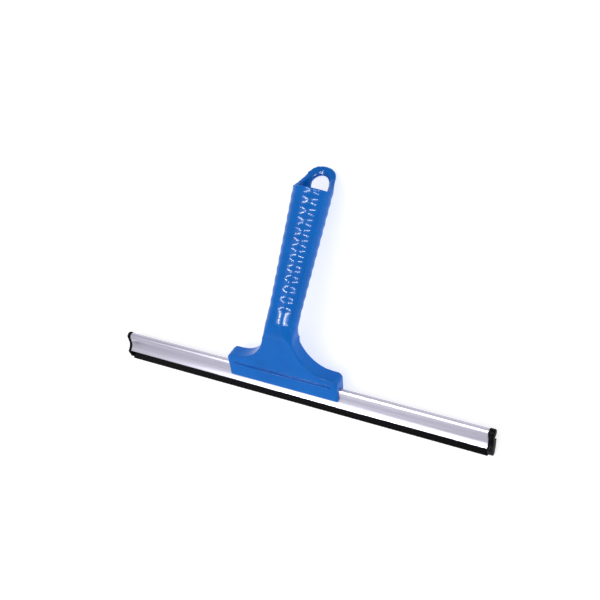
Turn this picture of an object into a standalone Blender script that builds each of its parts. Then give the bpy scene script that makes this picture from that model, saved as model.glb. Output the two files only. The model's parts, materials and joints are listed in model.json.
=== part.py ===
"""Window cleaning squeegee: moulded handle, aluminium bar, rubber blade, end caps and clamp screws.

Every piece is modelled in the bar's own upright frame, in metres: X along the bar, Z up the bar's
section from the wiping edge, and the front, which the user sees, towards -Y. One empty then lays
the whole squeegee on its back, on the wiping edge and the tip of the hanging loop.
"""

import math

import bmesh
import bpy
from mathutils import Matrix, Vector

MM = 0.001

# ---- Bar and blade, across the section (y from the blade's middle plane, z from the wiping edge)
BAR_LENGTH = 342.0 * MM
BAR_DEPTH = 8.2 * MM
BAR_FRONT = -5.2 * MM
LIP_HEIGHT = 9.4 * MM
BEAD_RADIUS = 3.2 * MM
BEAD_HEIGHT = 23.1 * MM
BEAD_DROP = 2.6 * MM
FACE_HOLLOW = 2.2 * MM
WEB = 1.8 * MM
SHOULDER_HEIGHT = 15.2 * MM
SHOULDER_SLOPE = 1.4 * MM
PEG_BORE_RADIUS = 1.7 * MM
BLADE_THICKNESS = 2.2 * MM
BLADE_HEAD_WIDTH = 3.4 * MM
BLADE_HEAD_HEIGHT = 2.6 * MM
BLADE_NECK_TOP = 10.9 * MM
FIT = 0.3 * MM

# ---- End caps
LEFT_CAP_FLANGE = 2.1 * MM
LEFT_CAP_KNOB = 0.9 * MM
RIGHT_CAP_FLANGE = 4.6 * MM
RIGHT_CAP_KNOB = 0.4 * MM
KNOB_MARGIN = 0.1 * MM
CAP_MARGIN = 0.5 * MM
CAP_TIP_RISE = 1.8 * MM
PEG_LENGTH = 9.0 * MM

# ---- Head of the handle
HEAD_CENTRE = -12.8 * MM
HEAD_HALF_WIDTH = 52.7 * MM
HEAD_WING_HEIGHT = 23.3 * MM
HEAD_THICKNESS = 13.4 * MM
HEAD_LEAN = math.radians(14.5)
HEAD_LIP = 0.5 * MM
HEAD_BOTTOM = 13.9 * MM
JAW_BOTTOM = 14.0 * MM
JAW_TOP = 7.6 * MM
HEAD_EDGE = 1.3 * MM
HEAD_TAPER = 0.6 * MM
WING_CORNER = 4.5 * MM
FLARE_WIDTH = 31.0 * MM
FLARE_HEIGHT = 38.0 * MM
FLARE_STEPS = 7
NECK_START = 47.6 * MM
HEAD_HEIGHT = 67.0 * MM
GROOVE_HEIGHT = 15.6 * MM
GROOVE_WIDTH = 2.8 * MM
GROOVE_DEPTH = 2.0 * MM
GROOVE_END_GAP = 6.5 * MM

# ---- Grip and hanging loop
GRIP_LEAN = math.radians(-27.5)
BEND_SETBACK = 2.6 * MM
BEND_RISE = 4.2 * MM
BEND_STEPS = 7
NECK_HALF_WIDTH = 13.9 * MM
GRIP_HALF_WIDTH = 17.5 * MM
GRIP_ROUNDNESS = 0.92
NECK_LENGTH = 14.3 * MM
RIB_COUNT = 12
RIB_PITCH = 8.8 * MM
RIB_DEPTH = 0.6 * MM
RIB_PROFILE = ((0.3, 0.0), (0.44, 1.0), (0.56, 1.0), (0.7, 0.0))
WALL = 2.8 * MM
BORE_LENGTH = 62.0 * MM
LOOP_LENGTH = 21.8 * MM
LOOP_HALF_WIDTH = 15.0 * MM
LOOP_THICKNESS = 3.6 * MM
LOOP_SHOULDER = 9.5 * MM
LOOP_TIP_HALF_WIDTH = 2.5 * MM
LOOP_STEPS = 9
HANG_HOLE_RADIUS = 8.7 * MM
HANG_HOLE_RISE = 5.4 * MM
MOUTH_SIDE = ((-0.3, 0.0), (0.1, 0.16), (0.45, 0.36), (0.8, 0.6), (1.0, 0.88))

# ---- Clamp screws, driven from the back against the bar's web
SCREW_SPACING = 56.0 * MM
SCREW_HEIGHT = 18.5 * MM
SCREW_SHANK_RADIUS = 1.5 * MM
SCREW_HEAD_RADIUS = 2.8 * MM
SCREW_HEAD_HEIGHT = 1.8 * MM
SCREW_SOCKET = 0.6 * MM

# ---- Clearance between pieces, overrun of joined shapes and cutters, and the rings of the handle
GAP = 0.3 * MM
OVERLAP = 0.4 * MM
OVERRUN = 2.0 * MM
RING_POINTS_PER_CORNER = 6
ROUND_SHARE = 0.985


# ---------------------------------------------------------------- scene helpers
def clear_scene():
    for obj in list(bpy.data.objects):
        bpy.data.objects.remove(obj, do_unlink=True)


def make_collection(name):
    collection = bpy.data.collections.new(name)
    bpy.context.scene.collection.children.link(collection)
    return collection


def make_material(name, colour, metallic, roughness):
    material = bpy.data.materials.new(name)
    material.use_nodes = True
    shader = material.node_tree.nodes["Principled BSDF"]
    shader.inputs["Base Color"].default_value = (*colour, 1.0)
    shader.inputs["Metallic"].default_value = metallic
    shader.inputs["Roughness"].default_value = roughness
    return material


def add_mesh_object(name, bm, collection, material=None):
    bmesh.ops.recalc_face_normals(bm, faces=bm.faces)
    mesh = bpy.data.meshes.new(name)
    bm.to_mesh(mesh)
    bm.free()
    obj = bpy.data.objects.new(name, mesh)
    collection.objects.link(obj)
    if material:
        mesh.materials.append(material)
    return obj


def hide_cutter(cutter):
    cutter.hide_render = True
    cutter.display_type = "WIRE"


def cut(obj, cutter):
    hide_cutter(cutter)
    boolean = obj.modifiers.new(cutter.name, "BOOLEAN")
    boolean.operation = "DIFFERENCE"
    boolean.solver = "EXACT"
    boolean.object = cutter


def join(obj, other):
    hide_cutter(other)
    boolean = obj.modifiers.new(other.name, "BOOLEAN")
    boolean.operation = "UNION"
    boolean.solver = "EXACT"
    boolean.object = other


def smooth_round_faces(obj):
    obj.data.shade_smooth()
    obj.data.set_sharp_from_angle(angle=math.radians(35))


# ---------------------------------------------------------------- outlines
def arc(centre, radius, start, end, steps):
    """Points on a circle in the (y, z) plane, angles in degrees from +y towards +z."""
    points = []
    for i in range(steps + 1):
        angle = math.radians(start + (end - start) * i / steps)
        points.append((centre[0] + radius * math.cos(angle), centre[1] + radius * math.sin(angle)))
    return points


def offset_outline(points, distance):
    """Moves each corner of a counter-clockwise outline outwards, so its sides move by distance."""
    moved = []
    for i, point in enumerate(points):
        before = Vector(point) - Vector(points[i - 1])
        after = Vector(points[(i + 1) % len(points)]) - Vector(point)
        normal_before = Vector((before.y, -before.x)).normalized()
        normal_after = Vector((after.y, -after.x)).normalized()
        miter = normal_before + normal_after
        miter *= 2.0 * distance / miter.length_squared
        moved.append((point[0] + miter.x, point[1] + miter.y))
    return moved


def extrude_section(name, points, x_start, x_end, collection, material=None):
    """A prism along X from one closed (y, z) outline: a flat curve, extruded, then made a mesh."""
    curve = bpy.data.curves.new(name, "CURVE")
    curve.dimensions = "2D"
    curve.fill_mode = "BOTH"
    curve.extrude = abs(x_end - x_start) / 2.0
    spline = curve.splines.new("POLY")
    spline.points.add(len(points) - 1)
    for point, (y, z) in zip(spline.points, points):
        point.co = (y, z, 0.0, 1.0)
    spline.use_cyclic_u = True
    outline = bpy.data.objects.new(name + "_outline", curve)
    collection.objects.link(outline)
    bpy.context.view_layer.update()
    evaluated = outline.evaluated_get(bpy.context.evaluated_depsgraph_get())
    mesh = bpy.data.meshes.new_from_object(evaluated)
    bpy.data.objects.remove(outline)
    bm = bmesh.new()
    bm.from_mesh(mesh)
    bpy.data.meshes.remove(mesh)
    bmesh.ops.remove_doubles(bm, verts=bm.verts, dist=1e-6)
    middle = (x_start + x_end) / 2.0
    yz_plane = Matrix(((0, 0, 1, middle), (1, 0, 0, 0), (0, 1, 0, 0), (0, 0, 0, 1)))
    bmesh.ops.transform(bm, matrix=yz_plane, verts=bm.verts)
    return add_mesh_object(name, bm, collection, material)


def bar_outline():
    """Outside of the aluminium section, counter-clockwise: back wall, web, bead, hollow front."""
    back = BAR_FRONT + BAR_DEPTH
    bead_centre = (BAR_FRONT + BEAD_RADIUS, BEAD_HEIGHT)
    half_chord = (BEAD_HEIGHT - BEAD_DROP - LIP_HEIGHT) / 2.0
    face_radius = (half_chord**2 + FACE_HOLLOW**2) / (2.0 * FACE_HOLLOW)
    face_centre = (BAR_FRONT + FACE_HOLLOW - face_radius, LIP_HEIGHT + half_chord)
    spread = math.degrees(math.asin(half_chord / face_radius))
    web_back = BAR_FRONT + FACE_HOLLOW + WEB
    bead_start = -math.degrees(math.acos((web_back - bead_centre[0]) / BEAD_RADIUS))
    points = [(back, LIP_HEIGHT), (back, SHOULDER_HEIGHT), (web_back, SHOULDER_HEIGHT + SHOULDER_SLOPE)]
    points += arc(bead_centre, BEAD_RADIUS, bead_start, 200.0, 16)
    points += arc(face_centre, face_radius, spread, -spread, 8)[1:]
    return points


def blade_slot_outline(points):
    """Adds the blade's channel to the bar outline, open at the bottom between two lips."""
    mouth = BLADE_THICKNESS / 2.0 + FIT
    room = BLADE_HEAD_WIDTH / 2.0 + FIT
    floor = BLADE_NECK_TOP - FIT
    roof = BLADE_NECK_TOP + BLADE_HEAD_HEIGHT + FIT
    channel = [(-mouth, LIP_HEIGHT), (-mouth, floor), (-room, floor), (-room, roof)]
    channel += [(y * -1.0, z) for y, z in reversed(channel)]
    return points + channel


# ---------------------------------------------------------------- bar, blade, caps
def make_bar(collection, cutters, material):
    half = BAR_LENGTH / 2.0
    section = blade_slot_outline(bar_outline())
    bar = extrude_section("aluminium_bar", section, -half, half, collection, material)
    centre = (BAR_FRONT + BEAD_RADIUS, BEAD_HEIGHT)
    bore = arc(centre, PEG_BORE_RADIUS, 0.0, 330.0, 11)
    cut(bar, extrude_section("peg_bore", bore, -half - OVERRUN, half + OVERRUN, cutters))
    smooth_round_faces(bar)
    return bar


def make_blade(collection, material):
    half = BAR_LENGTH / 2.0
    neck = BLADE_THICKNESS / 2.0
    head = BLADE_HEAD_WIDTH / 2.0
    top = BLADE_NECK_TOP + BLADE_HEAD_HEIGHT
    right = [(neck, 0.0), (neck, BLADE_NECK_TOP), (head, BLADE_NECK_TOP), (head, top)]
    left = [(-y, z) for y, z in reversed(right)]
    return extrude_section("rubber_blade", right + left, -half, half, collection, material)


def cap_outline():
    """The bar's outside with a margin, drawn in below to cover the blade down to near its edge."""
    section = offset_outline(bar_outline(), CAP_MARGIN)
    tip = BLADE_THICKNESS / 2.0 + CAP_MARGIN
    return section + [(-tip, CAP_TIP_RISE), (tip, CAP_TIP_RISE)]


def make_cap(name, side, flange, knob_rise, collection, cutters, material):
    """A flange over the end of the section, with a knob outside the bead and a peg in its bore."""
    inner = side * (BAR_LENGTH / 2.0 + GAP)
    outer = inner + side * flange
    centre = (BAR_FRONT + BEAD_RADIUS, BEAD_HEIGHT)
    flange_ends = (inner, outer)
    cap = extrude_section(name, cap_outline(), min(flange_ends), max(flange_ends), collection, material)
    knob = arc(centre, BEAD_RADIUS + KNOB_MARGIN, 0.0, 345.0, 23)
    knob_ends = (inner + side * OVERLAP, outer + side * knob_rise)
    join(cap, extrude_section(name + "_knob", knob, min(knob_ends), max(knob_ends), cutters))
    peg = arc(centre, PEG_BORE_RADIUS - FIT, 0.0, 330.0, 11)
    peg_ends = (inner - side * PEG_LENGTH, inner + side * OVERLAP)
    join(cap, extrude_section(name + "_peg", peg, min(peg_ends), max(peg_ends), cutters))
    smooth_round_faces(cap)
    return cap


# ---------------------------------------------------------------- handle
def lean_direction(lean):
    """Unit (y, z) vector up a part that leans forward by lean."""
    return Vector((-math.sin(lean), math.cos(lean)))


def lean_back(lean):
    """Unit (y, z) vector from the front of such a part to its back."""
    return Vector((math.cos(lean), math.sin(lean)))


def head_front(height):
    """Point (y, z) on the head's flat front face, at a height up that face."""
    foot = Vector((BAR_FRONT - HEAD_LIP, HEAD_BOTTOM))
    return foot + height * lean_direction(HEAD_LEAN)


def head_back(height):
    """Point (y, z) on the head's back face, behind head_front(height).

    The back runs parallel to the front, and below JAW_TOP straight down behind the bar, as a jaw.
    """
    top = head_front(max(height, JAW_TOP)) + HEAD_THICKNESS * lean_back(HEAD_LEAN)
    if height >= JAW_TOP:
        return top
    return Vector((top.x, JAW_BOTTOM)).lerp(top, height / JAW_TOP)


def grip_half_width(height):
    grown = max(0.0, height - NECK_LENGTH) / (RIB_COUNT * RIB_PITCH)
    return NECK_HALF_WIDTH + (GRIP_HALF_WIDTH - NECK_HALF_WIDTH) * min(grown, 1.0)


def grip_axis(height):
    """Point (y, z) on the grip's axis, at a height above the bend in the neck."""
    bend = head_front(HEAD_HEIGHT) + NECK_HALF_WIDTH * GRIP_ROUNDNESS * lean_back(GRIP_LEAN)
    return bend + height * lean_direction(GRIP_LEAN)


def ring(centre, lean, half_width, half_depth, corner_x, corner_y):
    """One closed ring of points: a rectangle with elliptical corners, square to the lean."""
    back = lean_back(lean)
    points = []
    for turn in range(4):
        sign_x = 1.0 if turn in (0, 3) else -1.0
        sign_y = 1.0 if turn in (0, 1) else -1.0
        for i in range(RING_POINTS_PER_CORNER):
            angle = math.radians(90.0 * (turn + i / (RING_POINTS_PER_CORNER - 1)))
            across = sign_x * (half_width - corner_x) + corner_x * math.cos(angle)
            deep = sign_y * (half_depth - corner_y) + corner_y * math.sin(angle)
            points.append(Vector((across, centre.x + deep * back.x, centre.y + deep * back.y)))
    return points


def head_ring(height, half_width, inset=0.0):
    front = head_front(height)
    through = head_back(height) - front
    lean = math.atan2(through.y, through.x)
    depth = through.length / 2.0 - inset
    return ring(front + through / 2.0, lean, half_width, depth, HEAD_EDGE, HEAD_EDGE)


def flare_half_width(height):
    """The head's sides sweep in as a quarter of an ellipse, from the wings to the neck."""
    rise = (HEAD_WING_HEIGHT + FLARE_HEIGHT - height) / FLARE_HEIGHT
    outside = NECK_HALF_WIDTH - HEAD_TAPER + FLARE_WIDTH
    return outside - FLARE_WIDTH * math.sqrt(max(0.0, 1.0 - min(1.0, rise) ** 2))


def head_rings():
    """The head's bottom edge, its straight sides, the wings' round corners, then the flare."""
    corner_centre = HEAD_WING_HEIGHT - WING_CORNER
    foot = HEAD_HALF_WIDTH - HEAD_TAPER
    rings = [head_ring(0.0, foot - HEAD_EDGE / 2.0, HEAD_EDGE / 3.0)]
    rings.append(head_ring(HEAD_EDGE / 2.0, foot))
    rings.append(head_ring(JAW_TOP, foot))
    for i in range(5):
        angle = math.radians(90.0 * i / 4)
        height = corner_centre + WING_CORNER * math.sin(angle)
        width = HEAD_HALF_WIDTH - WING_CORNER * (1.0 - math.cos(angle))
        rings.append(head_ring(height, width))
    flare_end = NECK_START - HEAD_EDGE - HEAD_WING_HEIGHT
    for i in range(1, FLARE_STEPS + 1):
        height = HEAD_WING_HEIGHT + flare_end * (i / FLARE_STEPS) ** 2
        rings.append(head_ring(height, flare_half_width(height)))
    return rings


def neck_rings():
    """The section turns from the head's flat slab to the grip's ellipse, round the bend."""
    rings = []
    slab = HEAD_THICKNESS / 2.0
    for i in range(BEND_STEPS + 1):
        share = i / BEND_STEPS
        lean = HEAD_LEAN + (GRIP_LEAN - HEAD_LEAN) * share * share * (3.0 - 2.0 * share)
        half_depth = slab + (NECK_HALF_WIDTH * GRIP_ROUNDNESS - slab) * share
        on_head = head_front(NECK_START + (HEAD_HEIGHT - BEND_SETBACK - NECK_START) * share)
        on_grip = grip_axis(BEND_RISE * share) - half_depth * lean_back(GRIP_LEAN)
        front = on_head.lerp(on_grip, max(0.0, 2.0 * share - 1.0) ** 1.5)
        height = NECK_START + (HEAD_HEIGHT - NECK_START) * share
        half_width = flare_half_width(height) + HEAD_TAPER * share
        rounding = ROUND_SHARE * max(0.0, (share - 0.3) / 0.7)
        corner_x = HEAD_EDGE + (half_width - HEAD_EDGE) * rounding
        corner_y = HEAD_EDGE + (half_depth - HEAD_EDGE) * rounding
        centre = front + half_depth * lean_back(lean)
        rings.append(ring(centre, lean, half_width, half_depth, corner_x, corner_y))
    return rings


def grip_ring(height, half_width, half_depth, squareness=0.0):
    corner_x = ROUND_SHARE * half_width
    corner_y = ROUND_SHARE * half_depth * (1.0 - squareness)
    return ring(grip_axis(height), GRIP_LEAN, half_width, half_depth, corner_x, corner_y)


def rim_height():
    return NECK_LENGTH + RIB_COUNT * RIB_PITCH


def grip_rings():
    """A smooth neck, then ribs: a flat band and a shallow groove on each pitch."""
    rings = []
    for share in (0.55, 0.9):
        width = grip_half_width(share * NECK_LENGTH)
        rings.append(grip_ring(share * NECK_LENGTH, width, width * GRIP_ROUNDNESS))
    for rib in range(RIB_COUNT):
        for share, sunk in RIB_PROFILE:
            height = NECK_LENGTH + (rib + share) * RIB_PITCH
            width = grip_half_width(height) - sunk * RIB_DEPTH
            rings.append(grip_ring(height, width, width * GRIP_ROUNDNESS))
    return rings


def loop_half_width(rise):
    """Half width of the hanging loop at a rise above the grip's rim: it narrows, then rounds off."""
    narrowed = min(1.0, rise / LOOP_SHOULDER)
    side = GRIP_HALF_WIDTH - (GRIP_HALF_WIDTH - LOOP_HALF_WIDTH) * narrowed
    top = max(0.0, rise - LOOP_SHOULDER) / (LOOP_LENGTH - LOOP_SHOULDER)
    return side * math.sqrt(max(0.0, 1.0 - top**4))


def loop_rings(inset=0.0):
    """The grip's section carried on past its rim, squarer as it rises so that the loop is a plate."""
    rings = []
    depth = GRIP_HALF_WIDTH * GRIP_ROUNDNESS - inset
    for i in range(LOOP_STEPS + 1):
        share = math.sin(math.radians(90.0 * i / LOOP_STEPS))
        width = max(LOOP_TIP_HALF_WIDTH, loop_half_width(share * LOOP_LENGTH) - inset)
        rise = share * (LOOP_LENGTH - inset)
        rings.append(grip_ring(rim_height() + rise, width, depth, 0.6 * share))
    return rings


def loft(name, rings, collection, material=None):
    """Joins rings of equal counts with quads and closes both ends with a face."""
    bm = bmesh.new()
    rows = [[bm.verts.new(point) for point in points] for points in rings]
    count = len(rows[0])
    for lower, upper in zip(rows, rows[1:]):
        for i in range(count):
            j = (i + 1) % count
            bm.faces.new((lower[i], lower[j], upper[j], upper[i]))
    bm.faces.new(list(reversed(rows[0])))
    bm.faces.new(rows[-1])
    return add_mesh_object(name, bm, collection, material)


def move_x(obj, distance):
    obj.data.transform(Matrix.Translation((distance, 0.0, 0.0)))


def bore_cutter(collection):
    """The hollow of the grip: a tapered bore that opens into the scoop of the loop."""
    inset = RIB_DEPTH + WALL
    rings = []
    for height in (rim_height() - BORE_LENGTH, rim_height() - OVERLAP):
        width = grip_half_width(height)
        rings.append(grip_ring(height, width - inset, width * GRIP_ROUNDNESS - inset))
    rings += loop_rings(LOOP_THICKNESS)[1:-1]
    return loft("grip_bore", rings, collection)


def mouth_cutter(collection):
    """Clears the front of the loop: a side outline that runs back from the rim and up the loop."""
    depth = GRIP_HALF_WIDTH * GRIP_ROUNDNESS
    plate = depth - LOOP_THICKNESS
    front = -2.0 * depth
    top = LOOP_LENGTH + 2.0 * OVERRUN
    side = [(front, 0.0)]
    side += [(across * plate, up * LOOP_LENGTH) for across, up in MOUTH_SIDE]
    side += [(plate, top), (front, top)]
    points = []
    for deep, rise in side:
        spot = grip_axis(rim_height() + rise) + deep * lean_back(GRIP_LEAN)
        points.append((spot.x, spot.y))
    width = GRIP_HALF_WIDTH + OVERRUN
    return extrude_section("mouth_cutter", points, -width, width, collection)


def leaning_cylinder(name, centre, lean, radius, start, end, segments, collection):
    """A cylinder through the thickness of a leaning part, from depth start to depth end."""
    back = lean_back(lean)
    spot = Vector((0.0, centre.x, centre.y))
    axis = Vector((0.0, back.x, back.y))
    turn = axis.to_track_quat("Z", "Y").to_matrix().to_4x4()
    bm = bmesh.new()
    bmesh.ops.create_cone(
        bm, cap_ends=True, segments=segments, radius1=radius, radius2=radius, depth=end - start
    )
    middle = Matrix.Translation(spot + axis * (start + end) / 2.0)
    bmesh.ops.transform(bm, matrix=middle @ turn, verts=bm.verts)
    return add_mesh_object(name, bm, collection)


def groove_cutter(collection):
    """A shallow groove with round ends across the front of the head."""
    half = HEAD_HALF_WIDTH - GROOVE_END_GAP - GROOVE_WIDTH / 2.0
    middle = head_front(GROOVE_HEIGHT)
    back = lean_back(HEAD_LEAN)
    up = lean_direction(HEAD_LEAN)
    rim = []
    for side, start in ((1.0, -90.0), (-1.0, 90.0)):
        for i in range(7):
            angle = math.radians(start + 30.0 * i)
            across = side * half + GROOVE_WIDTH / 2.0 * math.cos(angle)
            rise = GROOVE_WIDTH / 2.0 * math.sin(angle)
            rim.append((across, rise))
    rings = []
    for deep in (-GROOVE_DEPTH, GROOVE_DEPTH):
        row = []
        for across, rise in rim:
            spot = middle + deep * back + rise * up
            row.append(Vector((across, spot.x, spot.y)))
        rings.append(row)
    return loft("front_groove", rings, collection)


def slot_cutter(collection):
    """The bar's outside plus its clearance, through the head and open at the head's bottom."""
    half = HEAD_HALF_WIDTH + OVERRUN
    outline = offset_outline(bar_outline(), GAP)
    return extrude_section("bar_slot", outline, -half, half, collection)


def screw_start():
    """Point (y, z) where the screws' axis, square to the bar's web, meets the back of the web."""
    return Vector((BAR_FRONT + FACE_HOLLOW + WEB, SCREW_HEIGHT))


def screw_tip():
    """Depth of the shank's tip: clear of the web, and of the bead and shoulder if it reaches them."""
    web = screw_start().x
    drop = min(BEAD_RADIUS, max(0.0, BEAD_HEIGHT - SCREW_HEIGHT - SCREW_SHANK_RADIUS))
    bead = BAR_FRONT + BEAD_RADIUS + math.sqrt(BEAD_RADIUS**2 - drop**2)
    dip = SHOULDER_HEIGHT + SHOULDER_SLOPE - SCREW_HEIGHT + SCREW_SHANK_RADIUS
    shoulder = web + max(0.0, dip) / SHOULDER_SLOPE * (BAR_FRONT + BAR_DEPTH - web)
    return max(web, bead, shoulder) - web + GAP


def jaw_depth():
    """Distance along the screws' axis from the bar's web to the back of the head's jaw."""
    return head_back(0.0).x - screw_start().x


def screw_hole_cutter(name, x, collection):
    """A pilot hole through to the bar with a flat seat for the screw's head."""
    face = jaw_depth()
    seat = face - SCREW_HEAD_HEIGHT - GAP
    start = screw_start()
    radius = SCREW_SHANK_RADIUS + GAP
    hole = leaning_cylinder(name, start, 0.0, radius, -OVERLAP, seat + OVERLAP, 16, collection)
    radius = SCREW_HEAD_RADIUS + GAP
    seat_hole = leaning_cylinder(name + "_seat", start, 0.0, radius, seat, face + OVERRUN, 24, collection)
    move_x(hole, x)
    move_x(seat_hole, x)
    return hole, seat_hole


def make_handle(collection, cutters, material):
    rings = head_rings() + neck_rings() + grip_rings() + loop_rings()
    handle = loft("handle", rings, collection, material)
    cut(handle, bore_cutter(cutters))
    cut(handle, mouth_cutter(cutters))
    hole_centre = grip_axis(rim_height() + HANG_HOLE_RISE)
    back = GRIP_HALF_WIDTH * GRIP_ROUNDNESS
    hang_hole = leaning_cylinder(
        "hang_hole", hole_centre, GRIP_LEAN, HANG_HOLE_RADIUS, back * 0.3, back + OVERRUN, 32, cutters
    )
    cut(handle, hang_hole)
    cut(handle, slot_cutter(cutters))
    cut(handle, groove_cutter(cutters))
    for side in (-1, 1):
        for cutter in screw_hole_cutter(f"screw_hole_{side}", side * SCREW_SPACING / 2.0, cutters):
            cut(handle, cutter)
    for obj in [handle] + [m.object for m in handle.modifiers if m.type == "BOOLEAN"]:
        move_x(obj, HEAD_CENTRE)
    smooth_round_faces(handle)
    return handle


def make_screw(name, x, collection, cutters, material):
    """A flat-headed screw with a square socket; its tip bears on the back of the bar's web."""
    face = jaw_depth()
    seat = face - SCREW_HEAD_HEIGHT
    start = screw_start()
    radius = SCREW_SHANK_RADIUS
    shank = leaning_cylinder(name, start, 0.0, radius, screw_tip(), seat + OVERLAP, 16, collection)
    head = leaning_cylinder(name + "_head", start, 0.0, SCREW_HEAD_RADIUS, seat, face, 24, cutters)
    floor = face - SCREW_SOCKET
    socket = leaning_cylinder(name + "_socket", start, 0.0, radius, floor, face + OVERRUN, 4, cutters)
    for obj in (shank, head, socket):
        move_x(obj, x)
    join(shank, head)
    cut(shank, socket)
    shank.data.materials.append(material)
    smooth_round_faces(shank)
    return shank


# ---------------------------------------------------------------- lying pose
def lie_down(parts, cutters):
    """One empty turns the upright squeegee on its back and centres it on the table."""
    loop_back = GRIP_HALF_WIDTH * GRIP_ROUNDNESS * lean_back(GRIP_LEAN)
    loop_tip = grip_axis(rim_height() + LOOP_LENGTH) + loop_back
    blade_tip = Vector((BLADE_THICKNESS / 2.0, 0.0))
    rest = loop_tip - blade_tip
    tilt = math.atan2(rest.x, rest.y)
    root = bpy.data.objects.new("squeegee", None)
    parts[0].users_collection[0].objects.link(root)
    root.rotation_euler = (tilt - math.radians(90.0), 0.0, 0.0)
    for obj in parts + list(cutters.objects):
        obj.parent = root
    bpy.context.view_layer.update()
    graph = bpy.context.evaluated_depsgraph_get()
    spots = []
    for part in parts:
        mesh = part.evaluated_get(graph).data
        spots += [part.matrix_world @ vertex.co for vertex in mesh.vertices]
    low = [min(spot[i] for spot in spots) for i in range(3)]
    high = [max(spot[i] for spot in spots) for i in range(3)]
    root.location = (-(low[0] + high[0]) / 2.0, -(low[1] + high[1]) / 2.0, -low[2])


def build():
    clear_scene()
    squeegee = make_collection("window_squeegee")
    cutters = make_collection("cutters")
    blue = make_material("blue polypropylene", (0.0, 0.13, 0.6), 0.0, 0.3)
    aluminium = make_material("satin aluminium", (0.62, 0.61, 0.66), 1.0, 0.35)
    rubber = make_material("black rubber", (0.01, 0.01, 0.012), 0.0, 0.6)
    black = make_material("black polyethylene", (0.015, 0.015, 0.018), 0.0, 0.45)
    steel = make_material("zinc plated steel", (0.6, 0.6, 0.62), 1.0, 0.3)
    parts = [make_handle(squeegee, cutters, blue)]
    parts.append(make_bar(squeegee, cutters, aluminium))
    parts.append(make_blade(squeegee, rubber))
    left_cap = make_cap("end_cap_left", -1, LEFT_CAP_FLANGE, LEFT_CAP_KNOB, squeegee, cutters, black)
    right_cap = make_cap("end_cap_right", 1, RIGHT_CAP_FLANGE, RIGHT_CAP_KNOB, squeegee, cutters, black)
    parts += [left_cap, right_cap]
    for name, side in (("clamp_screw_left", -1), ("clamp_screw_right", 1)):
        x = HEAD_CENTRE + side * SCREW_SPACING / 2.0
        parts.append(make_screw(name, x, squeegee, cutters, steel))
    lie_down(parts, cutters)


build()
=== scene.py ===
# %% [markdown]
# # A window cleaning squeegee
# The tool is a T: a blue moulded handle holds an aluminium bar, and the bar holds a strip of black rubber.
# The working model, with its sizes and joints, is loaded first and stays as it is. Every visible piece is
# then modelled again around it with finer edges, and given the finish of its real material.

# %% Load the working model
import json
import math

import bmesh
import bpy
from mathutils import Matrix, Quaternion, Vector


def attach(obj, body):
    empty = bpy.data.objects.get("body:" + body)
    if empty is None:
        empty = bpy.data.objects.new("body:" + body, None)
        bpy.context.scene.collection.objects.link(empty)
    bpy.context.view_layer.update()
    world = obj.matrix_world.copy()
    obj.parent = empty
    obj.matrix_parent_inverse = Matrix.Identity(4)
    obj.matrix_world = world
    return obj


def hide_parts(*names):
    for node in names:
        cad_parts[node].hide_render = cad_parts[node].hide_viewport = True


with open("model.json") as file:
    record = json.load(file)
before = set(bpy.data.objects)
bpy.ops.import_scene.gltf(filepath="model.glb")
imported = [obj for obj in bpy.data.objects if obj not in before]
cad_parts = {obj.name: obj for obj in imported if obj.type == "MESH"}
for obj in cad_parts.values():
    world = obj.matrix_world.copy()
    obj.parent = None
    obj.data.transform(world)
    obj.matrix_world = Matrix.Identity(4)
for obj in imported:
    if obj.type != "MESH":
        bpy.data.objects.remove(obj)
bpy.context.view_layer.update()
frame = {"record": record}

MM = 0.001
bpy.ops.object.select_all(action="DESELECT")

# %% [markdown]
# ## Where the pieces lie
# The squeegee lies on its back, on the wiping edge and the tip of its loop. It is easier to draw it standing
# on its wiping edge, with x along the bar, z up and the front towards -y. The working model knows where the
# wiping edge is and which way it points, so one matrix lays each finished piece down.

# %% The matrix that lays a piece on its back
edge = next(mount for mount in frame["record"]["mounts"] if mount["name"] == "wiping_edge")
edge_down = Vector(edge["axis"])
LAY_DOWN = Matrix.Translation(edge["pos_m"]) @ Matrix.Rotation(math.atan2(edge_down.y, -edge_down.z), 4, "X")
print("lying angle:", round(math.degrees(math.atan2(edge_down.y, -edge_down.z)), 2))

# %% [markdown]
# ## Camera
# A 72 mm lens about a metre away sees the squeegee from in front, from the right and from above. The camera
# is set as if the squeegee stood up, and is then laid down with it, so the handle points up in the picture.

# %% Camera
AIM = Vector((-2.6, 3.4, 96.6)) * MM
DISTANCE = 997.3 * MM
AZIMUTH = math.radians(27.14)
ELEVATION = math.radians(25.66)
ROLL = math.radians(0.875)

level = math.cos(ELEVATION)
to_camera = Vector((math.sin(AZIMUTH) * level, -math.cos(AZIMUTH) * level, math.sin(ELEVATION)))
turn = to_camera.to_track_quat("Z", "Y") @ Quaternion((0.0, 0.0, 1.0), ROLL)
camera_data = bpy.data.cameras.new("camera")
camera_data.lens = 72.0
camera_data.sensor_width = 36.0
camera = bpy.data.objects.new("camera", camera_data)
bpy.context.scene.collection.objects.link(camera)
camera.matrix_world = LAY_DOWN @ Matrix.LocRotScale(AIM + DISTANCE * to_camera, turn, None)
bpy.context.scene.camera = camera
print("camera at", [round(c, 3) for c in camera.location])

# %% [markdown]
# ## Tools for materials
# Every finish below is a Principled BSDF with a few pattern nodes. Colours are written as the hex values a
# paint chart or a picture editor gives, so one function turns them to the linear values that Blender mixes
# in. A second one adds a node and wires it up in the same line.

# %% Colour and node helpers
def linear(hex_colour):
    """A #RRGGBB colour as the linear red, green, blue and alpha that a shader reads."""
    channels = [int(hex_colour[i : i + 2], 16) / 255.0 for i in (1, 3, 5)]
    return (*[c / 12.92 if c <= 0.04045 else ((c + 0.055) / 1.055) ** 2.4 for c in channels], 1.0)


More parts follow.
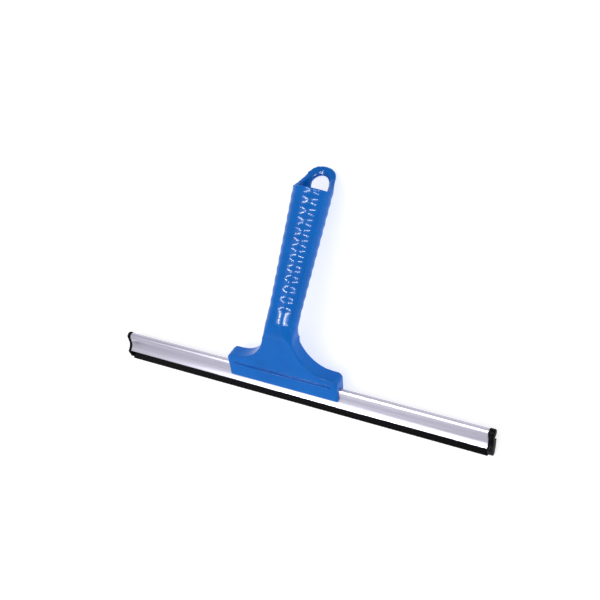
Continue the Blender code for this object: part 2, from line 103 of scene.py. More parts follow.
def add_node(material, kind, inputs=None, **settings):
    """Adds a node; an input is set to a value, or linked when it is given another node's output."""
    tree = material.node_tree
    node = tree.nodes.new(kind)
    for name, value in settings.items():
        setattr(node, name, value)
    for name, value in (inputs or {}).items():
        if isinstance(value, bpy.types.NodeSocket):
            tree.links.new(value, node.inputs[name])
        else:
            node.inputs[name].default_value = value
    return node


def new_finish(name, **shader_values):
    """A material with its Principled BSDF set, and the shader to wire patterns into."""
    material = bpy.data.materials.new(name)
    material.use_nodes = True
    shader = material.node_tree.nodes["Principled BSDF"]
    for socket, value in shader_values.items():
        shader.inputs[socket.replace("_", " ")].default_value = value
    return material, shader


def stretched_noise(material, size, detail=2.0):
    """Noise whose spots are size[0] x size[1] x size[2] metres, fixed to the piece."""
    place = add_node(material, "ShaderNodeTexCoord")
    scale = tuple(1.0 / s for s in size)
    mapping = add_node(
        material, "ShaderNodeMapping", {"Vector": place.outputs["Object"], "Scale": scale}
    )
    inputs = {"Vector": mapping.outputs["Vector"], "Scale": 1.0, "Detail": detail}
    return add_node(material, "ShaderNodeTexNoise", inputs).outputs["Fac"]


def vary(material, fac, low, high):
    """Spreads a pattern over a range of values."""
    inputs = {"Value": fac, "From Min": 0.3, "From Max": 0.7, "To Min": low, "To Max": high}
    return add_node(material, "ShaderNodeMapRange", inputs).outputs["Result"]


def tint(material, fac, dark, light):
    """Mixes two close colours by a pattern."""
    inputs = {"Factor": fac, "A": linear(dark), "B": linear(light)}
    mix = add_node(material, "ShaderNodeMix", None, data_type="RGBA")
    for name, value in inputs.items():
        socket = next(s for s in mix.inputs if s.name == name and s.enabled)
        if isinstance(value, bpy.types.NodeSocket):
            material.node_tree.links.new(value, socket)
        else:
            socket.default_value = value
    return next(s for s in mix.outputs if s.enabled)


def emboss(material, shader, height, depth):
    """Raises the surface by a pattern, depth metres from its lowest to its highest point."""
    inputs = {"Height": height, "Distance": depth, "Strength": 1.0}
    bump = add_node(material, "ShaderNodeBump", inputs)
    material.node_tree.links.new(bump.outputs["Normal"], shader.inputs["Normal"])


def wire(material, output, shader, socket):
    material.node_tree.links.new(output, shader.inputs[socket])


print("helpers ready, mid grey is", round(linear("#808080")[0], 3))

# %% [markdown]
# ## Finishes
# **Moulded polypropylene.** The handle comes out of a polished steel mould, so it is smooth and glossy. The
# gloss varies faintly where the plastic shrank as it cooled, and the blue, which is dyed right through, where
# it flowed. The specular level is set low, so that the white surroundings don't wash out the deep blue.

# %% Blue polypropylene
def moulded_polypropylene():
    material, shader = new_finish(
        "moulded polypropylene", Roughness=0.16, IOR=1.49, Specular_IOR_Level=0.16
    )
    flow = stretched_noise(material, (22 * MM, 22 * MM, 22 * MM), 3.0)
    colour = tint(material, vary(material, flow, 0.0, 1.0), "#0068C6", "#0070D2")
    wire(material, colour, shader, "Base Color")
    shrink = stretched_noise(material, (9 * MM, 9 * MM, 9 * MM), 1.0)
    wire(material, vary(material, shrink, 0.14, 0.19), shader, "Roughness")
    return material


BLUE = moulded_polypropylene()
print("made", BLUE.name)

# %% [markdown]
# **Anodised aluminium.** The bar is pressed through a die, which leaves fine lines along it, and is then
# etched and anodised, which turns the metal satin and slightly lavender grey. The real lines are about a
# tenth of a millimetre apart. They are drawn 0.7 mm wide here, because finer ones would not show.

# %% Satin aluminium
def anodised_aluminium():
    material, shader = new_finish("anodised aluminium", Metallic=1.0, Roughness=0.36)
    lines = stretched_noise(material, (140 * MM, 0.7 * MM, 0.7 * MM), 3.0)
    colour = tint(material, vary(material, lines, 0.0, 1.0), "#B6B4C4", "#C8C6D4")
    wire(material, colour, shader, "Base Color")
    wire(material, vary(material, lines, 0.3, 0.42), shader, "Roughness")
    emboss(material, shader, lines, 0.02 * MM)
    return material


ALUMINIUM = anodised_aluminium()
print("made", ALUMINIUM.name)

# %% [markdown]
# **EPDM rubber.** The strip is extruded, cured and cut, and looks almost black and even, with a dull sheen
# and a trace of talc. **Moulded polyethylene.** The end caps come from an eroded mould, which gives them a
# fine dull grain. **Zinc-plated steel.** The screws have a thin bright plating with a faint cloudiness.

# %% Rubber, cap plastic and screw steel
def epdm_rubber():
    material, shader = new_finish("EPDM rubber", Roughness=0.5, IOR=1.5, Specular_IOR_Level=0.04)
    talc = stretched_noise(material, (30 * MM, 3 * MM, 3 * MM), 4.0)
    colour = tint(material, vary(material, talc, 0.0, 1.0), "#050507", "#0B0B0F")
    wire(material, colour, shader, "Base Color")
    wire(material, vary(material, talc, 0.42, 0.6), shader, "Roughness")
    emboss(material, shader, stretched_noise(material, (0.6 * MM,) * 3, 2.0), 0.02 * MM)
    return material


def moulded_polyethylene():
    material, shader = new_finish(
        "moulded polyethylene", Roughness=0.45, IOR=1.51, Specular_IOR_Level=0.04
    )
    grain = stretched_noise(material, (0.7 * MM,) * 3, 2.0)
    colour = tint(material, vary(material, grain, 0.0, 1.0), "#050507", "#0B0B0E")
    wire(material, colour, shader, "Base Color")
    wire(material, vary(material, grain, 0.38, 0.52), shader, "Roughness")
    emboss(material, shader, grain, 0.05 * MM)
    return material


def zinc_plated_steel():
    material, shader = new_finish("zinc-plated steel", Metallic=1.0, Roughness=0.3)
    cloud = stretched_noise(material, (1.5 * MM,) * 3, 3.0)
    colour = tint(material, vary(material, cloud, 0.0, 1.0), "#B4B6BC", "#CDCED2")
    wire(material, colour, shader, "Base Color")
    wire(material, vary(material, cloud, 0.24, 0.4), shader, "Roughness")
    return material


RUBBER = epdm_rubber()
CAP_BLACK = moulded_polyethylene()
STEEL = zinc_plated_steel()
print("made", RUBBER.name, CAP_BLACK.name, STEEL.name, sep=", ")

# %% [markdown]
# ## Modelling helpers
# Nearly every piece here is one outline carried along a path: the bar along a straight line, the handle
# along its bend. So one helper starts from a filled circle and extrudes its face again and again. After each
# extrusion the new points are placed on the next outline. A plain scale or turn could not change a flat slab
# into a round grip on the way.

# %% Extruding a row of outlines
def start_edit(piece):
    bpy.ops.object.select_all(action="DESELECT")
    piece.select_set(True)
    bpy.context.view_layer.objects.active = piece
    bpy.ops.object.mode_set(mode="EDIT")


def extrude_through(name, outlines):
    """A closed solid through outlines of equal counts, each a list of (x, y, z) points."""
    bpy.ops.mesh.primitive_circle_add(vertices=len(outlines[0]), radius=1.0, fill_type="NGON")
    piece = bpy.context.active_object
    piece.name = name
    spots = piece.data.attributes.new("spot", "INT", "POINT")
    spots.data.foreach_set("value", range(len(outlines[0])))
    start_edit(piece)
    bpy.ops.mesh.select_all(action="SELECT")
    for number, outline in enumerate(outlines):
        if number:
            bpy.ops.mesh.extrude_region_move()
        bm = bmesh.from_edit_mesh(piece.data)
        spot = bm.verts.layers.int["spot"]
        for vert in bm.verts:
            if vert.select:
                vert.co = outline[vert[spot]]
        bmesh.update_edit_mesh(piece.data)
    bpy.ops.mesh.select_all(action="SELECT")
    bpy.ops.mesh.normals_make_consistent(inside=False)
    bpy.ops.object.mode_set(mode="OBJECT")
    piece.data.attributes.remove(piece.data.attributes["spot"])
    return piece


def prism(name, outline, x_start, x_end):
    """A straight length of one (y, z) outline along the bar."""
    return extrude_through(name, [[(x, y, z) for y, z in outline] for x in (x_start, x_end)])


def arc(centre, radius, start, end, steps):
    """Points on a circle in the (y, z) plane, in degrees from +y towards +z."""
    angles = [math.radians(start + (end - start) * i / steps) for i in range(steps + 1)]
    return [(centre[0] + radius * math.cos(a), centre[1] + radius * math.sin(a)) for a in angles]


print("a test prism would have", 2 * len(arc((0, 0), 1, 0, 330, 11)), "points")


# %% Modifiers that are applied at once
def apply_modifier(piece, kind, **settings):
    bpy.context.view_layer.objects.active = piece
    modifier = piece.modifiers.new(kind.lower(), kind)
    for name, value in settings.items():
        setattr(modifier, name, value)
    bpy.ops.object.modifier_apply(modifier=modifier.name)


def round_edges(piece, width, segments=3):
    """Gives every edge sharper than 30 degrees a small radius, as a mould or die does."""
    apply_modifier(piece, "BEVEL", width=width, segments=segments, limit_method="ANGLE", harden_normals=False)


def combine(piece, other, operation="DIFFERENCE"):
    apply_modifier(piece, "BOOLEAN", operation=operation, solver="EXACT", object=other)
    bpy.data.objects.remove(other)


def finish_piece(piece, material, body, nodes, smooth_angle=35.0):
    """Shades the piece, lays it on its back, and tells the frame what it stands for."""
    bpy.ops.object.select_all(action="DESELECT")
    piece.select_set(True)
    bpy.context.view_layer.objects.active = piece
    bpy.ops.object.shade_smooth_by_angle(angle=math.radians(smooth_angle))
    piece.data.transform(LAY_DOWN)
    piece.data.materials.clear()
    piece.data.materials.append(material)
    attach(piece, body)
    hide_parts(*nodes)
    print(piece.name, len(piece.data.polygons), "faces")


# %% [markdown]
# ## The aluminium bar
# The bar is one extrusion. A round bead runs along its top, under it the front face is hollowed, and below
# that a channel with two lips holds the rubber. The outline is drawn once, and the whole bar is one
# extrusion of it. A small bevel then rounds the corners that the die would leave.

# %% Sizes of the bar's section
BAR_LENGTH = 342.0 * MM
BAR_DEPTH = 8.2 * MM
BAR_FRONT = -5.2 * MM
LIP_HEIGHT = 9.4 * MM
BEAD_RADIUS = 3.2 * MM
BEAD_CENTRE = (BAR_FRONT + BEAD_RADIUS, 23.1 * MM)
BEAD_DROP = 2.6 * MM
FACE_HOLLOW = 2.2 * MM
WEB = 1.8 * MM
SHOULDER_HEIGHT = 15.2 * MM
SHOULDER_SLOPE = 1.4 * MM
PEG_BORE_RADIUS = 1.7 * MM
BLADE_THICKNESS = 2.2 * MM
BLADE_HEAD = (3.4 * MM, 2.6 * MM)
BLADE_NECK_TOP = 10.9 * MM
FIT = 0.3 * MM


def bar_outline(steps=12):
    """The outside of the section: back wall, web, bead and hollow front, counter-clockwise."""
    half_chord = (BEAD_CENTRE[1] - BEAD_DROP - LIP_HEIGHT) / 2.0
    radius = (half_chord**2 + FACE_HOLLOW**2) / (2.0 * FACE_HOLLOW)
    hollow = (BAR_FRONT + FACE_HOLLOW - radius, LIP_HEIGHT + half_chord)
    spread = math.degrees(math.asin(half_chord / radius))
    web_back = BAR_FRONT + FACE_HOLLOW + WEB
    bead_start = -math.degrees(math.acos((web_back - BEAD_CENTRE[0]) / BEAD_RADIUS))
    back = BAR_FRONT + BAR_DEPTH
    points = [(back, LIP_HEIGHT), (back, SHOULDER_HEIGHT), (web_back, SHOULDER_HEIGHT + SHOULDER_SLOPE)]
    points += arc(BEAD_CENTRE, BEAD_RADIUS, bead_start, 200.0, 2 * steps)
    points += arc(hollow, radius, spread, -spread, steps)[1:]
    return points


def blade_channel():
    """The channel as seen from the front lip: in, up round the rubber's head, and out again."""
    mouth = BLADE_THICKNESS / 2.0 + FIT
    room = BLADE_HEAD[0] / 2.0 + FIT
    floor = BLADE_NECK_TOP - FIT
    roof = BLADE_NECK_TOP + BLADE_HEAD[1] + FIT
    front = [(-mouth, LIP_HEIGHT), (-mouth, floor), (-room, floor), (-room, roof)]
    return front + [(-y, z) for y, z in reversed(front)]


# %% Extrude the bar
half_bar = BAR_LENGTH / 2.0
bar = prism("anodised_bar", bar_outline() + blade_channel(), -half_bar, half_bar)
bore = prism("bore", arc(BEAD_CENTRE, PEG_BORE_RADIUS, 0.0, 345.0, 23), -half_bar - MM, half_bar + MM)
combine(bar, bore)
round_edges(bar, 0.2 * MM, 2)
finish_piece(bar, ALUMINIUM, "bar", ["aluminium_bar"])

# %% [markdown]
# ## The rubber blade
# The strip has a T-shaped head inside the channel and a plain lip below it. Its wiping edge has to stay
# sharp, so only a tenth of a millimetre is taken off its corners.

# %% Extrude the blade
def blade_outline():
    neck = BLADE_THICKNESS / 2.0
    head = BLADE_HEAD[0] / 2.0
    top = BLADE_NECK_TOP + BLADE_HEAD[1]
    right = [(neck, 0.0), (neck, BLADE_NECK_TOP), (head, BLADE_NECK_TOP), (head, top)]
    return right + [(-y, z) for y, z in reversed(right)]


blade = prism("rubber_strip", blade_outline(), -half_bar, half_bar)
round_edges(blade, 0.1 * MM, 2)
finish_piece(blade, RUBBER, "blade", ["rubber_blade"])

# %% [markdown]
# ## The end caps
# Each cap closes the end of the section with a plate that follows its outline, and the right one's plate is
# about twice as thick. A knob stands out where the round bead is, and a peg behind it is pushed into the
# bead's bore.

# %% Model one cap, then the one at the other end
GAP = 0.3 * MM
LEFT_FLANGE, LEFT_KNOB = 2.1 * MM, 0.9 * MM
RIGHT_FLANGE, RIGHT_KNOB = 4.6 * MM, 0.4 * MM
KNOB_MARGIN = 0.1 * MM
CAP_MARGIN = 0.5 * MM
CAP_TIP_RISE = 1.8 * MM
PEG_LENGTH = 9.0 * MM
OVERLAP = 0.4 * MM


def grown(points, distance):
    """Moves each corner of a counter-clockwise outline out, so that its sides move by distance."""
    moved = []
    for i, point in enumerate(points):
        before = Vector(point) - Vector(points[i - 1])
        after = Vector(points[(i + 1) % len(points)]) - Vector(point)
        normals = Vector((before.y, -before.x)).normalized() + Vector((after.y, -after.x)).normalized()
        shift = normals * (2.0 * distance / normals.length_squared)
        moved.append((point[0] + shift.x, point[1] + shift.y))
    return moved


def cap_outline():
    tip = BLADE_THICKNESS / 2.0 + CAP_MARGIN
    return grown(bar_outline(), CAP_MARGIN) + [(-tip, CAP_TIP_RISE), (tip, CAP_TIP_RISE)]


def make_cap(name, side, flange, knob_rise, body, node):
    inner = side * (half_bar + GAP)
    outer = inner + side * flange
    cap = prism(name, cap_outline(), inner, outer)
    round_edges(cap, 0.35 * MM)
    knob_circle = arc(BEAD_CENTRE, BEAD_RADIUS + KNOB_MARGIN, 0.0, 348.75, 31)
    knob = prism("knob", knob_circle, inner + side * OVERLAP, outer + side * knob_rise)
    round_edges(knob, 0.35 * MM)
    combine(cap, knob, "UNION")
    peg_circle = arc(BEAD_CENTRE, PEG_BORE_RADIUS - FIT, 0.0, 345.0, 23)
    peg = prism("peg", peg_circle, inner - side * PEG_LENGTH, inner + side * OVERLAP)
    round_edges(peg, 0.3 * MM)
    combine(cap, peg, "UNION")
    finish_piece(cap, CAP_BLACK, body, [node])


make_cap("left_cap", -1, LEFT_FLANGE, LEFT_KNOB, "cap_left", "end_cap_left")
make_cap("right_cap", 1, RIGHT_FLANGE, RIGHT_KNOB, "cap_right", "end_cap_right")

# %% [markdown]
# ## The handle
# The handle is one hollow moulding: a flat head that flares out of the neck, a bend, a ribbed grip that
# grows towards the hand's heel, and a loop to hang it by. It is drawn as a row of outlines from the head's
# bottom edge to the tip of the loop, and extruded through them.

# %% Sizes of the handle
HEAD_CENTRE = -12.8 * MM
HEAD_HALF_WIDTH = 52.7 * MM
HEAD_WING_HEIGHT = 23.3 * MM
HEAD_THICKNESS = 13.4 * MM
HEAD_LEAN = math.radians(14.5)
HEAD_LIP = 0.5 * MM
HEAD_BOTTOM = 13.9 * MM
JAW_BOTTOM = 14.0 * MM
JAW_TOP = 7.6 * MM
HEAD_EDGE = 1.3 * MM
HEAD_TAPER = 0.6 * MM
WING_CORNER = 4.5 * MM
FLARE_WIDTH = 31.0 * MM
FLARE_HEIGHT = 38.0 * MM
NECK_START = 47.6 * MM
HEAD_HEIGHT = 67.0 * MM

GRIP_LEAN = math.radians(-27.5)
BEND_SETBACK = 2.6 * MM
BEND_RISE = 4.2 * MM
NECK_HALF_WIDTH = 13.9 * MM
GRIP_HALF_WIDTH = 17.5 * MM
GRIP_ROUNDNESS = 0.92
NECK_LENGTH = 14.3 * MM
RIB_COUNT = 12
RIB_PITCH = 8.8 * MM
RIB_DEPTH = 0.45 * MM
RIM_HEIGHT = NECK_LENGTH + RIB_COUNT * RIB_PITCH
LOOP_LENGTH = 21.8 * MM
LOOP_HALF_WIDTH = 15.0 * MM
LOOP_THICKNESS = 3.6 * MM
LOOP_SHOULDER = 9.5 * MM
LOOP_TIP_HALF_WIDTH = 2.5 * MM
LOOP_SQUARENESS = 0.6  # at the loop's tip, where 0 is the grip's oval and 1 a slab
BEND_ROUND_START = 0.3  # share of the bend after which the slab's corners grow into the grip's oval
NECK_STATIONS = (0.4, 0.55, 0.7, 0.85, 0.97)  # shares of the neck's length where it gets an outline


# %% Outlines of the handle
def up_along(lean):
    return Vector((-math.sin(lean), math.cos(lean)))


def back_across(lean):
    return Vector((math.cos(lean), math.sin(lean)))


def outline_between(front, back, half_width, corner_x, corner_y, steps=16):
    """A rectangle with elliptical corners, from a front (y, z) point to a back one."""
    through = (back - front) / 2.0
    middle = front + through
    deep_side = through.length - corner_y
    through.normalize()
    points = []
    for turn, (sign_x, sign_y) in enumerate(((1, 1), (-1, 1), (-1, -1), (1, -1))):
        for i in range(steps):
            angle = math.radians(90.0 * (turn + i / (steps - 1)))
            across = sign_x * (half_width - corner_x) + corner_x * math.cos(angle)
            spot = middle + (sign_y * deep_side + corner_y * math.sin(angle)) * through
            points.append((HEAD_CENTRE + across, spot.x, spot.y))
    return points


def head_front(height):
    return Vector((BAR_FRONT - HEAD_LIP, HEAD_BOTTOM)) + height * up_along(HEAD_LEAN)


def head_back(height):
    """Behind head_front(height); below JAW_TOP the back runs straight down behind the bar."""
    top = head_front(max(height, JAW_TOP)) + HEAD_THICKNESS * back_across(HEAD_LEAN)
    if height >= JAW_TOP:
        return top
    return Vector((top.x, JAW_BOTTOM)).lerp(top, height / JAW_TOP)


def head_outline(height, half_width, inset=0.0):
    front = head_front(height)
    back = head_back(height)
    step = (back - front).normalized() * inset
    return outline_between(front + step, back - step, half_width, HEAD_EDGE, HEAD_EDGE)


def flare_half_width(height):
    """The sides sweep in from the wings to the neck as a quarter of an ellipse."""
    drop = (HEAD_WING_HEIGHT + FLARE_HEIGHT - height) / FLARE_HEIGHT
    outside = NECK_HALF_WIDTH - HEAD_TAPER + FLARE_WIDTH
    return outside - FLARE_WIDTH * math.sqrt(max(0.0, 1.0 - min(1.0, drop) ** 2))


def head_outlines(edge_steps=4, corner_steps=10, flare_steps=26):
    outlines = []
    foot = HEAD_HALF_WIDTH - HEAD_TAPER
    for i in range(edge_steps + 1):
        angle = math.radians(90.0 * i / edge_steps)
        inset = HEAD_EDGE * (1.0 - math.sin(angle))
        outlines.append(head_outline(HEAD_EDGE * (1.0 - math.cos(angle)), foot - inset, inset))
    outlines.append(head_outline(JAW_TOP, foot))
    for i in range(corner_steps + 1):
        angle = math.radians(90.0 * i / corner_steps)
        height = HEAD_WING_HEIGHT - WING_CORNER * (1.0 - math.sin(angle))
        outlines.append(head_outline(height, HEAD_HALF_WIDTH - WING_CORNER * (1.0 - math.cos(angle))))
    for i in range(1, flare_steps):
        height = HEAD_WING_HEIGHT + (NECK_START - HEAD_WING_HEIGHT) * (i / flare_steps) ** 2
        outlines.append(head_outline(height, flare_half_width(height)))
    return outlines


# %% Outlines of the bend, the grip and the loop
ROUND_SHARE = 0.985  # share of the half width that a corner takes up, which makes almost a full oval


def grip_half_width(height):
    share = min(1.0, max(0.0, height - NECK_LENGTH) / (RIB_COUNT * RIB_PITCH))
    return NECK_HALF_WIDTH + (GRIP_HALF_WIDTH - NECK_HALF_WIDTH) * share


def grip_axis(height):
    """Point (y, z) on the grip's axis, at a height above the bend."""
    depth = NECK_HALF_WIDTH * GRIP_ROUNDNESS
    return head_front(HEAD_HEIGHT) + depth * back_across(GRIP_LEAN) + height * up_along(GRIP_LEAN)


def grip_outline(height, half_width, half_depth, squareness=0.0):
    reach = half_depth * back_across(GRIP_LEAN)
    axis = grip_axis(height)
    corner_y = ROUND_SHARE * half_depth * (1.0 - squareness)
    return outline_between(axis - reach, axis + reach, half_width, ROUND_SHARE * half_width, corner_y)


def bend_outlines(steps=24):
    """From the head's slab to the grip's oval, while the lean turns from one to the other."""
    outlines = []
    slab = HEAD_THICKNESS / 2.0
    for i in range(steps + 1):
        share = i / steps
        lean = HEAD_LEAN + (GRIP_LEAN - HEAD_LEAN) * share * share * (3.0 - 2.0 * share)
        half_depth = slab + (NECK_HALF_WIDTH * GRIP_ROUNDNESS - slab) * share
        on_head = head_front(NECK_START + (HEAD_HEIGHT - BEND_SETBACK - NECK_START) * share)
        on_grip = grip_axis(BEND_RISE * share) - half_depth * back_across(GRIP_LEAN)
        front = on_head.lerp(on_grip, max(0.0, 2.0 * share - 1.0) ** 1.5)
        height = NECK_START + (HEAD_HEIGHT - NECK_START) * share
        half_width = flare_half_width(height) + HEAD_TAPER * share
        rounding = ROUND_SHARE * max(0.0, (share - BEND_ROUND_START) / (1.0 - BEND_ROUND_START))
        corner_x = HEAD_EDGE + (half_width - HEAD_EDGE) * rounding
        corner_y = HEAD_EDGE + (half_depth - HEAD_EDGE) * rounding
        back = front + 2.0 * half_depth * back_across(lean)
        outlines.append(outline_between(front, back, half_width, corner_x, corner_y))
    return outlines


def grip_outlines(steps=12):
    """A smooth neck, then ribs that rise and fall like a wave."""
    outlines = []
    for share in NECK_STATIONS:
        width = grip_half_width(share * NECK_LENGTH)
        outlines.append(grip_outline(share * NECK_LENGTH, width, width * GRIP_ROUNDNESS))
    for step in range(RIB_COUNT * steps):
        share = step / steps
        sunk = 0.5 - 0.5 * math.cos(2.0 * math.pi * share)
        height = NECK_LENGTH + share * RIB_PITCH
        width = grip_half_width(height) - RIB_DEPTH * sunk
        outlines.append(grip_outline(height, width, width * GRIP_ROUNDNESS))
    return outlines


def loop_half_width(rise):
    """It narrows from the grip's rim, then rounds off at the top."""
    narrowed = min(1.0, rise / LOOP_SHOULDER)
    side = GRIP_HALF_WIDTH - (GRIP_HALF_WIDTH - LOOP_HALF_WIDTH) * narrowed
    top = max(0.0, rise - LOOP_SHOULDER) / (LOOP_LENGTH - LOOP_SHOULDER)
    return side * math.sqrt(max(0.0, 1.0 - top**4))


def loop_outlines(inset=0.0, steps=20):
    """The grip carried on past its rim, squarer as it rises, so that its back becomes a plate."""
    outlines = []
    depth = GRIP_HALF_WIDTH * GRIP_ROUNDNESS - inset
    for i in range(steps + 1):
        share = math.sin(math.radians(90.0 * i / steps))
        width = max(LOOP_TIP_HALF_WIDTH, loop_half_width(share * LOOP_LENGTH) - inset)
        height = RIM_HEIGHT + share * (LOOP_LENGTH - inset)
        outlines.append(grip_outline(height, width, depth, LOOP_SQUARENESS * share))
    return outlines


handle_outlines = head_outlines() + bend_outlines() + grip_outlines() + loop_outlines()
print(len(handle_outlines), "outlines of", len(handle_outlines[0]), "points")

# %% [markdown]
# The hollow of the grip, the mouth that opens it at the front, the hole to hang it by, the slot for the bar
# and the groove across the head are then cut out with Boolean modifiers. Each cutter is slightly too long,
# so that no two faces lie in one plane.

# %% Extrude the handle and hollow its grip
BORE_INSET = 3.4 * MM  # from the crests of the ribs to the hollow
BORE_LENGTH = 62.0 * MM
MOUTH_SIDE = ((-0.3, 0.0), (0.1, 0.16), (0.45, 0.36), (0.8, 0.6), (1.0, 0.88))
OVERRUN = 2.0 * MM

handle = extrude_through("moulded_handle", handle_outlines)


def cut_bore():
    """A tapered hollow that runs on into the scoop of the loop."""
    outlines = []
    for height in (RIM_HEIGHT - BORE_LENGTH, RIM_HEIGHT - OVERLAP):
        width = grip_half_width(height)
        outlines.append(grip_outline(height, width - BORE_INSET, width * GRIP_ROUNDNESS - BORE_INSET))
    combine(handle, extrude_through("bore", outlines + loop_outlines(LOOP_THICKNESS)[1:-1]))


def cut_mouth():
    """A side view of the mouth: back from the front rim, then up the inside of the loop."""
    depth = GRIP_HALF_WIDTH * GRIP_ROUNDNESS
    plate = depth - LOOP_THICKNESS
    top = LOOP_LENGTH + 2.0 * OVERRUN
    front = -2.0 * depth
    side = [(front, 0.0)]
    side += [(across * plate, up * LOOP_LENGTH) for across, up in MOUTH_SIDE]
    side += [(plate, top), (front, top)]
    spots = [grip_axis(RIM_HEIGHT + rise) + deep * back_across(GRIP_LEAN) for deep, rise in side]
    reach = GRIP_HALF_WIDTH + OVERRUN
    combine(handle, prism("mouth", [tuple(s) for s in spots], HEAD_CENTRE - reach, HEAD_CENTRE + reach))


cut_bore()
cut_mouth()
print("hollow handle:", len(handle.data.polygons), "faces")

# %% Cut the hang hole, the bar's slot, the groove and the screw holes
HANG_HOLE_RADIUS = 8.7 * MM
HANG_HOLE_RISE = 5.4 * MM
HANG_HOLE_START = 0.3  # share of the way from the grip's axis to its back where the cutter starts
GROOVE_HEIGHT = 15.6 * MM
GROOVE_WIDTH = 2.8 * MM
GROOVE_DEPTH = 2.0 * MM
GROOVE_END_GAP = 6.5 * MM
SCREW_SPACING = 56.0 * MM
SCREW_HEIGHT = 18.5 * MM
SCREW_SHANK_RADIUS = 1.5 * MM
SCREW_HEAD_RADIUS = 2.8 * MM
SCREW_HEAD_HEIGHT = 1.8 * MM


def rod(name, x, start, lean, radius, near, far, vertices=48):
    """A cylinder through a leaning wall, from near to far behind its start (y, z) point."""
    across = back_across(lean)
    axis = Vector((0.0, across.x, across.y))
    middle = Vector((x, start.x, start.y)) + axis * (near + far) / 2.0
    turn = axis.to_track_quat("Z", "Y").to_euler()
    bpy.ops.mesh.primitive_cylinder_add(
        vertices=vertices, radius=radius, depth=far - near, location=middle, rotation=turn
    )
    piece = bpy.context.active_object
    piece.name = name
    bpy.ops.object.transform_apply(location=True, rotation=True, scale=True)
    return piece


def cut_hang_hole():
    back = GRIP_HALF_WIDTH * GRIP_ROUNDNESS
    centre = grip_axis(RIM_HEIGHT + HANG_HOLE_RISE)
    near = HANG_HOLE_START * back
    combine(handle, rod("hole", HEAD_CENTRE, centre, GRIP_LEAN, HANG_HOLE_RADIUS, near, back + OVERRUN, 64))


def cut_bar_slot():
    reach = HEAD_HALF_WIDTH + OVERRUN
    combine(handle, prism("slot", grown(bar_outline(), GAP), HEAD_CENTRE - reach, HEAD_CENTRE + reach))


def cut_groove():
    """A shallow groove with round ends across the front of the head."""
    half = HEAD_HALF_WIDTH - GROOVE_END_GAP - GROOVE_WIDTH / 2.0
    rim = arc((half, 0.0), GROOVE_WIDTH / 2.0, -90.0, 90.0, 12)
    rim += arc((-half, 0.0), GROOVE_WIDTH / 2.0, 90.0, 270.0, 12)
    outlines = []
    for deep in (-GROOVE_DEPTH, GROOVE_DEPTH):
        spots = [
            head_front(GROOVE_HEIGHT) + deep * back_across(HEAD_LEAN) + rise * up_along(HEAD_LEAN)
            for across, rise in rim
        ]
        outlines.append([(HEAD_CENTRE + across, spot.x, spot.y) for (across, rise), spot in zip(rim, spots)])
    combine(handle, extrude_through("groove", outlines))


screw_start = Vector((BAR_FRONT + FACE_HOLLOW + WEB, SCREW_HEIGHT))
jaw_depth = head_back(0.0).x - screw_start.x
SCREW_PLACES = {"left": HEAD_CENTRE - SCREW_SPACING / 2.0, "right": HEAD_CENTRE + SCREW_SPACING / 2.0}


def cut_screw_hole(x):
    seat = jaw_depth - SCREW_HEAD_HEIGHT - GAP
    combine(handle, rod("hole", x, screw_start, 0.0, SCREW_SHANK_RADIUS + GAP, -OVERLAP, seat + OVERLAP))
    combine(handle, rod("seat", x, screw_start, 0.0, SCREW_HEAD_RADIUS + GAP, seat, jaw_depth + OVERRUN))


cut_hang_hole()
cut_bar_slot()
cut_groove()
for x in SCREW_PLACES.values():
    cut_screw_hole(x)
print("cut handle:", len(handle.data.polygons), "faces")

# %% [markdown]
# A moulding has no truly sharp corner, and the cuts have left many. A voxel remesh wraps the whole handle in
# an even skin of small quads, and a few rounds of smoothing then round every corner by about half a
# millimetre, as the polish of a mould does.

# %% Soften every corner of the moulding
SKIN = 0.7 * MM
apply_modifier(handle, "REMESH", mode="VOXEL", voxel_size=SKIN)
apply_modifier(handle, "SMOOTH", factor=0.5, iterations=3)
finish_piece(handle, BLUE, "handle", ["handle"], 60.0)

# %% [markdown]
# ## The clamp screws
# Two screws at the back of the head press on the bar's web. Each has a flat head with a softened rim, sunk
# flush into its seat, and a cross recess made by cutting two thin bars out of it.

# %% Model the screws
RECESS_WIDTH = 0.8 * MM
RECESS_LENGTH = 3.4 * MM
RECESS_DEPTH = 1.1 * MM


def make_screw(side, x):
    seat = jaw_depth - SCREW_HEAD_HEIGHT
    screw = rod(side + "_clamp_screw", x, screw_start, 0.0, SCREW_HEAD_RADIUS, seat, jaw_depth)
    round_edges(screw, 0.35 * MM)
    combine(screw, rod("shank", x, screw_start, 0.0, SCREW_SHANK_RADIUS, GAP, seat + OVERLAP, 32), "UNION")
    for width, height in ((RECESS_LENGTH, RECESS_WIDTH), (RECESS_WIDTH, RECESS_LENGTH)):
        bpy.ops.mesh.primitive_cube_add(
            size=1.0,
            location=(x, screw_start.x + jaw_depth, screw_start.y),
            scale=(width, 2.0 * RECESS_DEPTH, height),
        )
        bpy.ops.object.transform_apply(location=True, rotation=True, scale=True)
        combine(screw, bpy.context.active_object)
    finish_piece(screw, STEEL, "handle", ["clamp_screw_" + side])


for side, x in SCREW_PLACES.items():
    make_screw(side, x)

# %% [markdown]
# ## Floor and light
# The squeegee lies on a plain white sweep, which glows a little, as a light table does, so that only a faint
# shadow is left. A large soft box overhead lights it all, a low card beyond the wiping edge adds to the front
# of the bar, and two long strips make the pair of bright lines along the grip.

# %% Floor
FLOOR_GLOW = 0.65


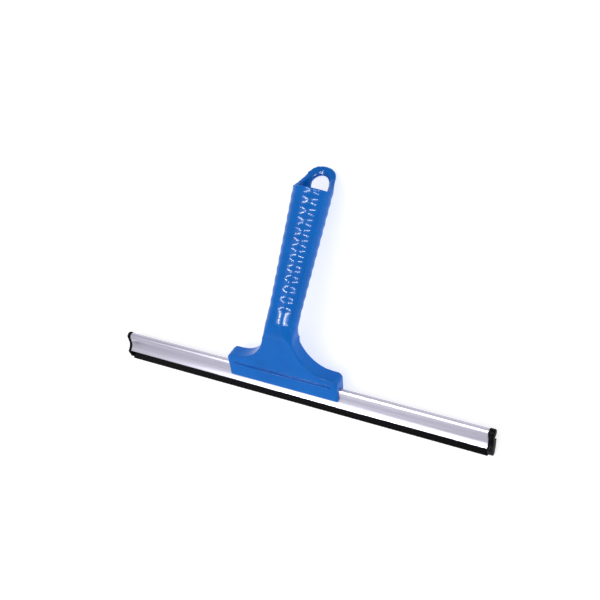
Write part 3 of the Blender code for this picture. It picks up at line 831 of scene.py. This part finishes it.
def plain_white_floor():
    material, shader = new_finish("matt white board", Roughness=0.8)
    shader.inputs["Base Color"].default_value = linear("#D0D0D0")
    shader.inputs["Specular IOR Level"].default_value = 0.1
    shader.inputs["Emission Color"].default_value = (1.0, 1.0, 1.0, 1.0)
    shader.inputs["Emission Strength"].default_value = FLOOR_GLOW
    return material


bpy.ops.mesh.primitive_plane_add(size=8.0, location=(0.0, 0.0, 0.0))
floor = bpy.context.active_object
floor.name = "floor"
floor.data.materials.append(plain_white_floor())
print("floor", floor.dimensions.x, "m across")

# %% Lights
LIT_POINT = Vector((0.0, -20.0, 20.0)) * MM
WORLD_STRENGTH = 0.65
STRIP_DISTANCE = 1.3
STRIP_SIZE = (0.035, 0.75)
STRIP_POWER = 20.0
STRIP_TILT = 0.13  # the grip's front faces slightly away from the bar, so the strips hang square above it


def area_light(name, direction, distance, size, power):
    """A rectangular light whose long side lies along the handle, aimed at the squeegee."""
    data = bpy.data.lights.new(name, "AREA")
    data.shape = "RECTANGLE"
    data.size, data.size_y = size
    data.energy = power
    lamp = bpy.data.objects.new(name, data)
    bpy.context.scene.collection.objects.link(lamp)
    away = Vector(direction).normalized()
    lamp.location = LIT_POINT + away * distance
    lamp.rotation_mode = "QUATERNION"
    lamp.rotation_quaternion = away.to_track_quat("Z", "Y")
    return lamp


def strip_light(name, turn):
    """A narrow strip along the grip, turned about the grip's axis; it only adds its reflection."""
    angle = math.radians(turn)
    direction = (math.sin(angle), STRIP_TILT, math.cos(angle))
    lamp = area_light(name, direction, STRIP_DISTANCE, STRIP_SIZE, STRIP_POWER)
    lamp.visible_diffuse = False


area_light("soft box", direction=(-0.3, -0.3, 0.9), distance=1.6, size=(1.2, 1.3), power=5.0)
area_light("low card", direction=(-0.3, -0.9, 0.35), distance=1.8, size=(1.6, 0.5), power=2.0)
strip_light("left strip", -13.0)
strip_light("right strip", 37.0)

world = bpy.data.worlds.new("studio")
world.use_nodes = True
world.node_tree.nodes["Background"].inputs["Color"].default_value = (1.0, 1.0, 1.0, 1.0)
world.node_tree.nodes["Background"].inputs["Strength"].default_value = WORLD_STRENGTH
bpy.context.scene.world = world
bpy.context.scene.view_settings.view_transform = "Standard"
